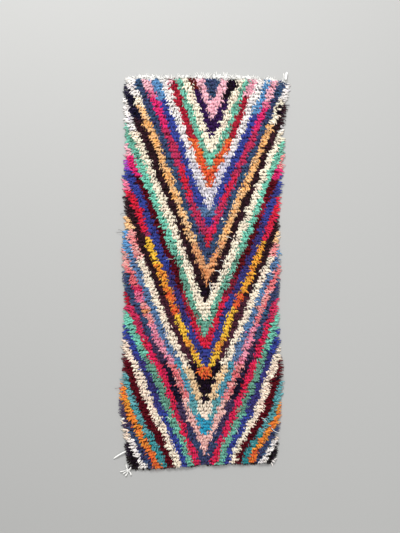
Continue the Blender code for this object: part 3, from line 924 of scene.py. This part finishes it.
lock_row, lock_column = row[lock_knot], column[lock_knot]
on_left = lock_column == 0
on_right = lock_column == KNOTS_IN_ROW - 1
on_foot = (lock_row == 0) & ~on_left & ~on_right
inside = ~(on_left | on_right | on_foot)
for number, lot_name in enumerate(LOT_NAMES):
    sheen, streaks, root_shade = LOT_FIBRE.get(lot_name, USUAL_FIBRE)
    material = yarn_material(
        "yarn_" + lot_name, LOTS[lot_name], sheen, streaks=streaks, root_shade=root_shade
    )
    chosen = inside & (knot_lot[lock_knot] == number)
    piece = add_locks("pile_" + lot_name, chosen, material, seed=100 + number)
    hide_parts("pile_field")

# %% [markdown]
# ## The locks at the rim
# The outermost knots belong to the narrow backings beside the field. They hold every dye that reaches the
# edge, so their material reads the dye from an attribute of each lock.

# %% The rim's three pieces
rim_material = yarn_material("yarn_rim", None, sheen=0.06)
for name, chosen, node in (
    ("left_rim_locks", on_left, "left_edge_locks"),
    ("right_rim_locks", on_right, "right_edge_locks"),
    ("bottom_rim_locks", on_foot, "bottom_edge_locks"),
):
    piece = add_locks(name, chosen, rim_material, with_dye=True, seed=200 + len(name))
    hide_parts(node)

# %% [markdown]
# ## The woven ground
# Under the pile is a plain cloth of cotton warp and dark weft, about 3 mm thick. From below it shows the
# backs of the knots as small dashes of dye between the picks of weft. The cloth is one closed grid with a
# cell for each knot, so the knots' dyes can be stored on it and one material draws every dash.

# %% The ground cloth
# From above, between the locks, the dye is darkened as painted shade and covers most of the cloth. From
# below it shows only in the dashes. The thin walls around the rim have no dash, so their grey stays hidden.
PAINTED_SHADE_ABOVE, DYE_COVER, WALL_GREY = 0.6, 0.85, 0.6


def ground_cloth():
    """Grid of u across and v along: x, y from the outline, z = crease height, with a second layer below."""
    u, v = np.meshgrid(np.linspace(0, 1, KNOTS_IN_ROW + 1), np.linspace(0, 1, ROWS + 1))
    x, y = weaving(u, v)
    flat = np.stack([x, y, cloth_lift(x, y) + FLOOR_GAP], axis=-1)
    top = flat + [0, 0, CLOTH_THICKNESS]
    points = np.concatenate([top.reshape(-1, 3), flat.reshape(-1, 3)])
    index = np.arange(u.size).reshape(u.shape)
    upper = [index[:-1, :-1], index[:-1, 1:], index[1:, 1:], index[1:, :-1]]
    upper = np.stack(upper, axis=-1).reshape(-1, 4)
    under = upper[:, [0, 3, 2, 1]] + u.size
    ring = np.concatenate([index[0, :-1], index[:-1, -1], index[-1, :0:-1], index[:0:-1, 0]])
    ring_low = ring + u.size
    walls = np.stack([ring, ring_low, np.roll(ring_low, -1), np.roll(ring, -1)], axis=-1)
    return points, np.concatenate([upper, under, walls]), (u, v)


ground_points, ground_faces, (ground_u, ground_v) = ground_cloth()
ground_mesh = bpy.data.meshes.new("woven_ground")
ground_mesh.from_pydata((ground_points + MIDDLE).tolist(), [], ground_faces.tolist())
in_knots = np.stack([ground_u.ravel(), ground_v.ravel()], axis=-1) * [KNOTS_IN_ROW, ROWS]
in_knots = np.concatenate([in_knots, in_knots]).astype(np.float32)
corner_points = np.empty(len(ground_mesh.loops), np.int32)
ground_mesh.loops.foreach_get("vertex_index", corner_points)
knots_uv = ground_mesh.uv_layers.new(name="knots")
knots_uv.uv.foreach_set("vector", in_knots[corner_points].ravel())
cell_u, cell_v = ((np.arange(cells) + 0.5) / cells for cells in (KNOTS_IN_ROW, ROWS))
cell_x, cell_y = weaving(*np.meshgrid(cell_u, cell_v))
cell_dye = dye_of(*read_chart(cell_x.ravel(), cell_y.ravel()))
walls = len(ground_faces) - 2 * len(cell_dye)
# Upper faces get the knot's dye darkened, as painted shade between the locks; under faces get the plain dye.
face_dye_and_shade = np.concatenate([cell_dye * PAINTED_SHADE_ABOVE, cell_dye, np.full((walls, 3), WALL_GREY)])
from_above = np.concatenate([np.full(len(cell_dye), DYE_COVER), np.zeros(len(cell_dye) + walls)])
corner_dye_and_shade = np.repeat(np.concatenate([face_dye_and_shade, from_above[:, None]], axis=1), 4, axis=0)
# The stored dye of the upper faces carries that painted shade.
dye_and_shade_attribute = ground_mesh.attributes.new("dye", "FLOAT_COLOR", "CORNER")
dye_and_shade_attribute.data.foreach_set("color", corner_dye_and_shade.astype(np.float32).ravel())
ground_mesh.update(calc_edges=True)
ground = add_object("woven_ground", ground_mesh)
print("ground cloth:", len(ground_faces), "faces")

# %% The cloth's material
WEFT_RIBS, WARP_RIBS = (9, 0.5), (4, 0.35)  # ribs in a knot's cell, and their height
DASH_HALF_WIDTH, DASH_HALF_LENGTH, DASH_HEIGHT = 0.42, 0.20, 1.2  # in cells
GROUND_TONES = ((0.035, 0.027, 0.024, 1), (0.11, 0.09, 0.075, 1))
GROUND_ROUGHNESS, GROUND_BUMP, GROUND_RELIEF = 0.92, 0.8, 0.0010
SPECKLE_SCALE, SPECKLE_DETAIL = 14.0, 4.0


def ground_material():
    """Weft ribs across, warp ribs along, and a dash of dye in the middle of each knot's cell."""
    material, shader = start_material("ground_weave", GROUND_ROUGHNESS)
    tree = material.node_tree
    nodes, links, math_node = tree.nodes, tree.links, arithmetic(tree)

    def ribs(place, number, height):
        wave = math_node("SINE", math_node("MULTIPLY", place, 2 * np.pi * number))
        return math_node("MULTIPLY", wave, height)

    def near_middle(place, half):
        off = math_node("ABSOLUTE", math_node("SUBTRACT", math_node("FRACT", place), 0.5))
        return math_node("LESS_THAN", off, half)

    place = nodes.new("ShaderNodeUVMap")
    place.uv_map = "knots"
    parts = nodes.new("ShaderNodeSeparateXYZ")
    links.new(place.outputs["UV"], parts.inputs[0])
    over, up = parts.outputs["X"], parts.outputs["Y"]
    relief = math_node("ADD", ribs(up, *WEFT_RIBS), ribs(over, *WARP_RIBS))
    dash = math_node("MULTIPLY", near_middle(up, DASH_HALF_LENGTH), near_middle(over, DASH_HALF_WIDTH))
    speckle = nodes.new("ShaderNodeTexNoise")
    speckle.inputs["Scale"].default_value = SPECKLE_SCALE
    speckle.inputs["Detail"].default_value = SPECKLE_DETAIL
    links.new(place.outputs["UV"], speckle.inputs["Vector"])
    cotton = mixed(tree, speckle.outputs["Fac"], *GROUND_TONES)
    # On the upper faces the stored dye is darkened as painted shade between the locks.
    dye = stored(tree, "dye")
    cover = math_node("MAXIMUM", dye["Alpha"], math_node("MULTIPLY", dash, DYE_COVER))
    links.new(mixed(tree, cover, cotton, dye["Color"]), shader.inputs["Base Color"])
    height = math_node("ADD", relief, math_node("MULTIPLY", dash, DASH_HEIGHT))
    add_relief(tree, shader, height, GROUND_BUMP, GROUND_RELIEF)
    return material


ground.data.materials.append(ground_material())
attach(ground, "root")
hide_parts("pile_field")

# %% [markdown]
# ## Warp ends
# At the top end the cotton warps were cut and left as a short, frizzy fringe. Cotton springs back, so each
# end curls its own way. The ends are tubes whose heading turns a little at every step, which numpy sums
# up into a path.

# %% Curling strands
END_STEPS, END_HEIGHT = 7, 0.0012
BOW_PACE = 1.15  # an end comes down again after 1 / 1.15 of its length
TIP_ROUNDING, STRAND_TIP, STRAND_ROUGHNESS = (0.95, 0.65), 0.8, 0.08
STRAND_GAP, STRAND_SHADES = 0.0003, (0.3, 0.8)


def curling_paths(start, heading, length, turning, lift, seed):
    """Paths whose heading drifts: each step adds a random turn, and the points are a running sum."""
    n = len(heading)
    turns = np.random.default_rng(seed).normal(0, 1, (n, END_STEPS - 1)) * turning[:, None]
    turns = np.cumsum(turns, axis=1) + heading[:, None]
    stride = (length / (END_STEPS - 1))[:, None]
    steps = np.stack([np.sin(turns) * stride, np.cos(turns) * stride], axis=-1)
    steps = np.concatenate([np.zeros((n, 1, 2)), np.cumsum(steps, axis=1)], axis=1)
    run = np.linspace(0, 1, END_STEPS)[None, :]
    bow = lift[:, None] * np.sin(np.pi * np.minimum(run * BOW_PACE, 1))
    z = bow + start[:, 2:3] * (1 - run) + END_HEIGHT * run
    return np.concatenate([start[:, None, :2] + steps, z[..., None]], axis=-1)


def add_strands(name, strand_paths, radii, material, node, slot, seed, sides=4, flat=0.9, root=1.0):
    """One piece from strands: radius * (root at the start, 1 at the tip), rounded off at the end."""
    n, m, _ = strand_paths.shape
    taper = np.linspace(root, 1, m)
    taper[-2:] *= TIP_ROUNDING
    own_widths = np.asarray(radii)[:, None] * taper[None, :]
    strand_paths = strand_paths.copy()
    strand_paths[..., 2] = np.maximum(strand_paths[..., 2], own_widths * flat + STRAND_GAP)
    points, corners, sizes, patch = tubes(
        strand_paths, own_widths, own_widths * flat, sides, STRAND_TIP, STRAND_ROUGHNESS, seed
    )
    length = np.linalg.norm(np.diff(strand_paths, axis=1), axis=-1).sum(axis=1)
    own_shade = np.random.default_rng(seed + 1).uniform(*STRAND_SHADES, n)
    values = strand_values(points, own_widths, sides, length, own_shade, seed)
    piece = add_mesh(name, points, corners, sizes, patch, values)
    piece.data.materials.append(material)
    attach(piece, "root")
    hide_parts(node)
    print(f"{name}: {n} strands, {n * (m * sides * 2 - 2)} triangles")
    return piece


COTTON = ((248, 247, 243), (240, 237, 228))
cotton_material = yarn_material(
    "warp_cotton", COTTON, sheen=0.2, roughness=0.85, streaks=0.25, root_shade=0.10
)
print("strand helpers ready")

# %% The fringe of the top end, group by group
FRINGE = (
    # ends, mean heading, then low and high of the share of the width and of the turning, and in
    # millimetres the start past the edge, the length, the radius, the lift and the start's height
    (240, 0.0, (0.00, 1.00), (0.1, 0.6), (-10, 0), (12, 24), (1.1, 2.2), (2, 8), (4, 13)),
    (160, 0.0, (0.00, 1.00), (0.2, 1.0), (-6, 0), (18, 38), (0.5, 1.0), (0, 8), (2, 8)),
    (170, 0.0, (0.00, 1.00), (0.2, 0.9), (-24, -6), (10, 22), (0.9, 1.9), (5, 12), (12, 21)),
    (110, -0.3, (0.00, 0.17), (0.2, 0.8), (-22, 2), (14, 30), (1.2, 2.4), (4, 12), (6, 20)),
    (34, 0.0, (0.46, 0.66), (0.1, 0.5), (-4, 2), (22, 42), (0.7, 1.4), (2, 8), (3, 10)),
    (150, 0.0, (0.77, 0.97), (0.3, 1.0), (-34, -6), (10, 22), (0.9, 1.9), (5, 12), (12, 22)),
)
# The foot's dark ends: frayed weft, made dense and long enough to also paint the shadow under the bottom
# edge.
FOOT_ENDS_AND_SHADOW = (640, np.pi, (0.00, 1.00), (0.2, 0.8), (-4, 3), (12, 21), (1.0, 1.7), (0, 3), (2, 6))
CLUMP_SIZE, CLUMP_SPREAD, HEADING_ERROR = 0.022, 0.5, 0.55
TRIES = 3


def edge_ends(group, along_share, seed):
    """Paths and radii of one group of ends at the top edge (along_share 1) or the bottom edge (0).

    Of three times as many places, those where a noise along the edge is highest are kept, which leaves thin
    stretches between the clumps.
    """
    ends, toward, part, turning, *in_millimetres = group
    random = np.random.default_rng(seed)
    places = random.uniform(*part, TRIES * ends)
    clumps = soft_noise(places, places * 0, CLUMP_SIZE, seed)
    clumps = clumps + random.normal(0, CLUMP_SPREAD, TRIES * ends)
    x, y = weaving(places[np.argsort(-clumps)[:ends]], np.full(ends, along_share))
    past, length, radius, lift, height = (random.uniform(*span, ends) / 1000 for span in in_millimetres)
    start = np.stack([x, y + past, height], axis=-1)
    heading = toward + random.normal(0, HEADING_ERROR, ends)
    turns = random.uniform(*turning, ends)
    return curling_paths(start, heading, length, turns, lift, seed + 1), radius


groups = [edge_ends(group, 1.0, 41 + 2 * number) for number, group in enumerate(FRINGE)]
fringe_paths, fringe_radii = (np.concatenate(parts) for parts in zip(*groups))
fringe = add_strands(
    "top_fringe", fringe_paths, fringe_radii, cotton_material, "top_warp_fringe", WARP_SLOT, 52
)

# %% [markdown]
# At the bottom end the dark weft's last picks fray into short brown ends, which show as a thin dark line
# under the last row of locks. They are laid denser and longer than the fray alone, so they also paint the
# shadow under the bottom edge.

# %% The frayed weft at the foot, which also paints the shadow under it
# Near-black brown: partly the weft's own colour and partly painted shadow under the bottom edge.
FRAYED_AND_SHADOW = ((46, 24, 24), (30, 16, 18))
frayed_and_shadow_material = yarn_material("frayed_weft_and_shadow", FRAYED_AND_SHADOW, sheen=0.02, streaks=0.5)
foot_paths, foot_radii = edge_ends(FOOT_ENDS_AND_SHADOW, 0.0, 55)
foot_ends_and_shadow = add_strands(
    "frayed_foot_and_shadow", foot_paths, foot_radii, frayed_and_shadow_material, "bottom_edge_locks", EDGE_SLOT, 56, sides=3
)

# %% [markdown]
# ## Loose ends
# A few things are worth placing one by one, because they give the rug its own face: a tall cut tape at the
# top right corner, a long loose end and a knotted tassel at the bottom left, and some white threads that
# strayed onto the pile. Each is one line in a table: where it starts, where it ends, and how far it bows
# to its left on the way.

# %% Threads one by one
THREAD_STEPS = 9


def bowed_paths(table):
    """Path = start + run * (end - start) + 4 * bow * run * (1 - run) to the left.

    The height is the parabola through the line's three heights.
    """
    start, end, bow, height = table[:, None, 0:2], table[:, None, 2:4], table[:, 4, None], table[:, 5:8]
    run = np.linspace(0, 1, THREAD_STEPS)[None, :]
    way = end - start
    aside = unit(np.stack([-way[..., 1], way[..., 0]], axis=-1))
    flat_path = start + way * run[..., None] + aside * (4 * bow * run * (1 - run))[..., None]
    first, middle, last = (height[:, k, None] for k in range(3))
    z = first * (1 - run) * (1 - 2 * run) + middle * 4 * run * (1 - run) + last * run * (2 * run - 1)
    return np.concatenate([flat_path, z[..., None]], axis=-1)


STRAYS = (
    # start x and y, end x and y, bow, height at the start, the middle and the end, radius
    (0.0616, 0.005, 0.1037, -0.0275, 0.0135, 0.024, 0.030, 0.019, 0.0018),
    (0.0372, -0.0665, 0.0445, -0.1135, -0.0050, 0.022, 0.030, 0.024, 0.0018),
    (0.0440, -0.114, 0.036, -0.155, 0.0065, 0.024, 0.027, 0.018, 0.0014),
    (0.084, 0.063, 0.126, 0.052, 0.0100, 0.018, 0.028, 0.018, 0.0010),
    (0.144, -0.053, 0.163, -0.044, 0.0030, 0.018, 0.028, 0.020, 0.0015),
    (0.152, -0.025, 0.173, -0.020, -0.0030, 0.018, 0.028, 0.020, 0.0013),
    (0.190, 0.026, 0.203, 0.033, 0.0030, 0.018, 0.028, 0.020, 0.0014),
    (0.106, 0.317, 0.113, 0.318, 0.0000, 0.024, 0.028, 0.022, 0.0034),
    (0.134, 0.210, 0.171, 0.198, 0.004, 0.022, 0.028, 0.020, 0.0014),
    (0.104, 0.326, 0.118, 0.312, 0.004, 0.022, 0.028, 0.022, 0.0014),
    (-0.403, 0.094, -0.360, 0.052, 0.005, 0.020, 0.027, 0.020, 0.0013),
    (0.372, -0.003, 0.439, -0.027, -0.008, 0.020, 0.027, 0.020, 0.0013),
    (0.348, -0.888, 0.384, -0.918, 0.006, 0.020, 0.028, 0.020, 0.0016),
    (0.409, -0.949, 0.458, -0.979, -0.006, 0.020, 0.028, 0.018, 0.0016),
    (0.189, -0.949, 0.207, -0.991, 0.005, 0.020, 0.028, 0.020, 0.0014),
    (0.043, -0.833, 0.061, -0.863, -0.004, 0.020, 0.028, 0.020, 0.0014),
    (-0.226, -0.881, -0.201, -0.906, 0.004, 0.020, 0.027, 0.020, 0.0013),
    (-0.232, 0.073, -0.189, 0.073, 0.003, 0.020, 0.027, 0.020, 0.0011),
)
LEFT_ENDS = (
    # the long loose end at the foot, then a short one above it
    (-0.4752, -1.0943, -0.550, -1.140, -0.003, 0.012, 0.010, 0.0035, 0.0040),
    (-0.484, -0.892, -0.500, -0.900, 0.000, 0.016, 0.014, 0.010, 0.0055),
)
DARK_ENDS = (
    # four thin wisps, then the heavier ends of the lower corner
    (-0.490, 0.243, -0.536, 0.240, 0.004, 0.010, 0.012, 0.004, 0.0008),
    (-0.470, 0.352, -0.510, 0.348, -0.004, 0.012, 0.012, 0.004, 0.0008),
    (-0.500, -0.700, -0.545, -0.712, 0.003, 0.010, 0.012, 0.004, 0.0008),
    (-0.486, 0.236, -0.522, 0.256, -0.003, 0.010, 0.012, 0.004, 0.0007),
    (-0.452, -1.112, -0.475, -1.122, 0.001, 0.010, 0.010, 0.005, 0.0042),
    (-0.452, -1.124, -0.474, -1.135, -0.001, 0.012, 0.011, 0.005, 0.0044),
    (-0.450, -1.138, -0.473, -1.150, 0.001, 0.010, 0.010, 0.005, 0.0044),
    (-0.446, -1.150, -0.468, -1.166, 0.001, 0.012, 0.011, 0.005, 0.0044),
    (-0.438, -1.160, -0.457, -1.179, -0.001, 0.010, 0.010, 0.005, 0.0044),
    (-0.424, -1.166, -0.440, -1.188, 0.001, 0.012, 0.011, 0.005, 0.0044),
    (-0.410, -1.168, -0.421, -1.192, -0.001, 0.010, 0.010, 0.005, 0.0044),
)
CORNER_END = (
    (0.4975, 1.166, 0.5045, 1.2125, 0.001, 0.012, 0.013, 0.007, 0.0062),
    (0.4870, 1.168, 0.4850, 1.207, -0.001, 0.010, 0.011, 0.006, 0.0017),
)
dark_material = yarn_material("yarn_dark_ends", LOTS["black"], sheen=0.0, streaks=0.5)


def hand_placed(name, table, material, node, slot, seed, **shape):
    """One piece from a table's lines: eight values for the path, then the radius."""
    table = np.array(table)
    return add_strands(name, bowed_paths(table), table[:, 8], material, node, slot, seed, **shape)


strays = hand_placed("stray_threads", STRAYS, cotton_material, "pile_field", PILE_SLOT, 61, sides=6)
left_ends = hand_placed(
    "left_loose_ends", LEFT_ENDS, cotton_material, "left_edge_locks", EDGE_SLOT, 63, sides=8
)
dark_ends = hand_placed("left_dark_ends", DARK_ENDS, dark_material, "left_edge_locks", EDGE_SLOT, 64)
corner_end = hand_placed(
    "corner_tape", CORNER_END, cotton_material, "right_edge_locks", EDGE_SLOT, 65, sides=8, flat=0.35
)

# %% The tassel: a knot of warps with its cut ends spread around it
KNOT_PLACE = (-0.461, -1.2124)
KNOT_RADIUS, KNOT_YARN = 0.0048, 0.0038
KNOT_HEIGHT, KNOT_WAVE = 0.0070, 0.0022
NECKS = (
    # the warps that come from the rug's corner
    (*KNOT_PLACE, -0.475, -1.175, 0.002, 0.008, 0.010, 0.008, 0.0036),
    (*KNOT_PLACE, -0.4437, -1.189, -0.002, 0.008, 0.010, 0.010, 0.0052),
    (*KNOT_PLACE, -0.4729, -1.2067, 0.001, 0.008, 0.009, 0.008, 0.0032),
)
FINGERS = (
    # the cut ends, thickest where they fray at the tip
    (-0.4729, -1.2067, -0.5103, -1.2200, 0.002, 0.008, 0.008, 0.005, 0.0041),
    (-0.4640, -1.2150, -0.4928, -1.2335, -0.002, 0.008, 0.008, 0.005, 0.0042),
    (-0.4620, -1.2180, -0.4800, -1.2450, 0.002, 0.008, 0.008, 0.005, 0.0048),
    (-0.4580, -1.2150, -0.4448, -1.2394, 0.003, 0.008, 0.008, 0.006, 0.0058),
)
turn = np.linspace(0, 2 * np.pi, 12)
knot_loop = np.stack([
    KNOT_PLACE[0] + KNOT_RADIUS * np.cos(turn),
    KNOT_PLACE[1] + KNOT_RADIUS * np.sin(turn),
    KNOT_HEIGHT + KNOT_WAVE * np.sin(2 * turn),
], axis=-1)[None]
in_tassel = (cotton_material, "corner_tassel", WARP_SLOT)
tassel_pieces = [
    hand_placed("tassel_necks", NECKS, *in_tassel, 66, sides=8),
    hand_placed("tassel_fingers", FINGERS, *in_tassel, 68, sides=8, root=0.3),
    add_strands("tassel_knot", knot_loop, [KNOT_YARN], *in_tassel, 67, sides=8),
]
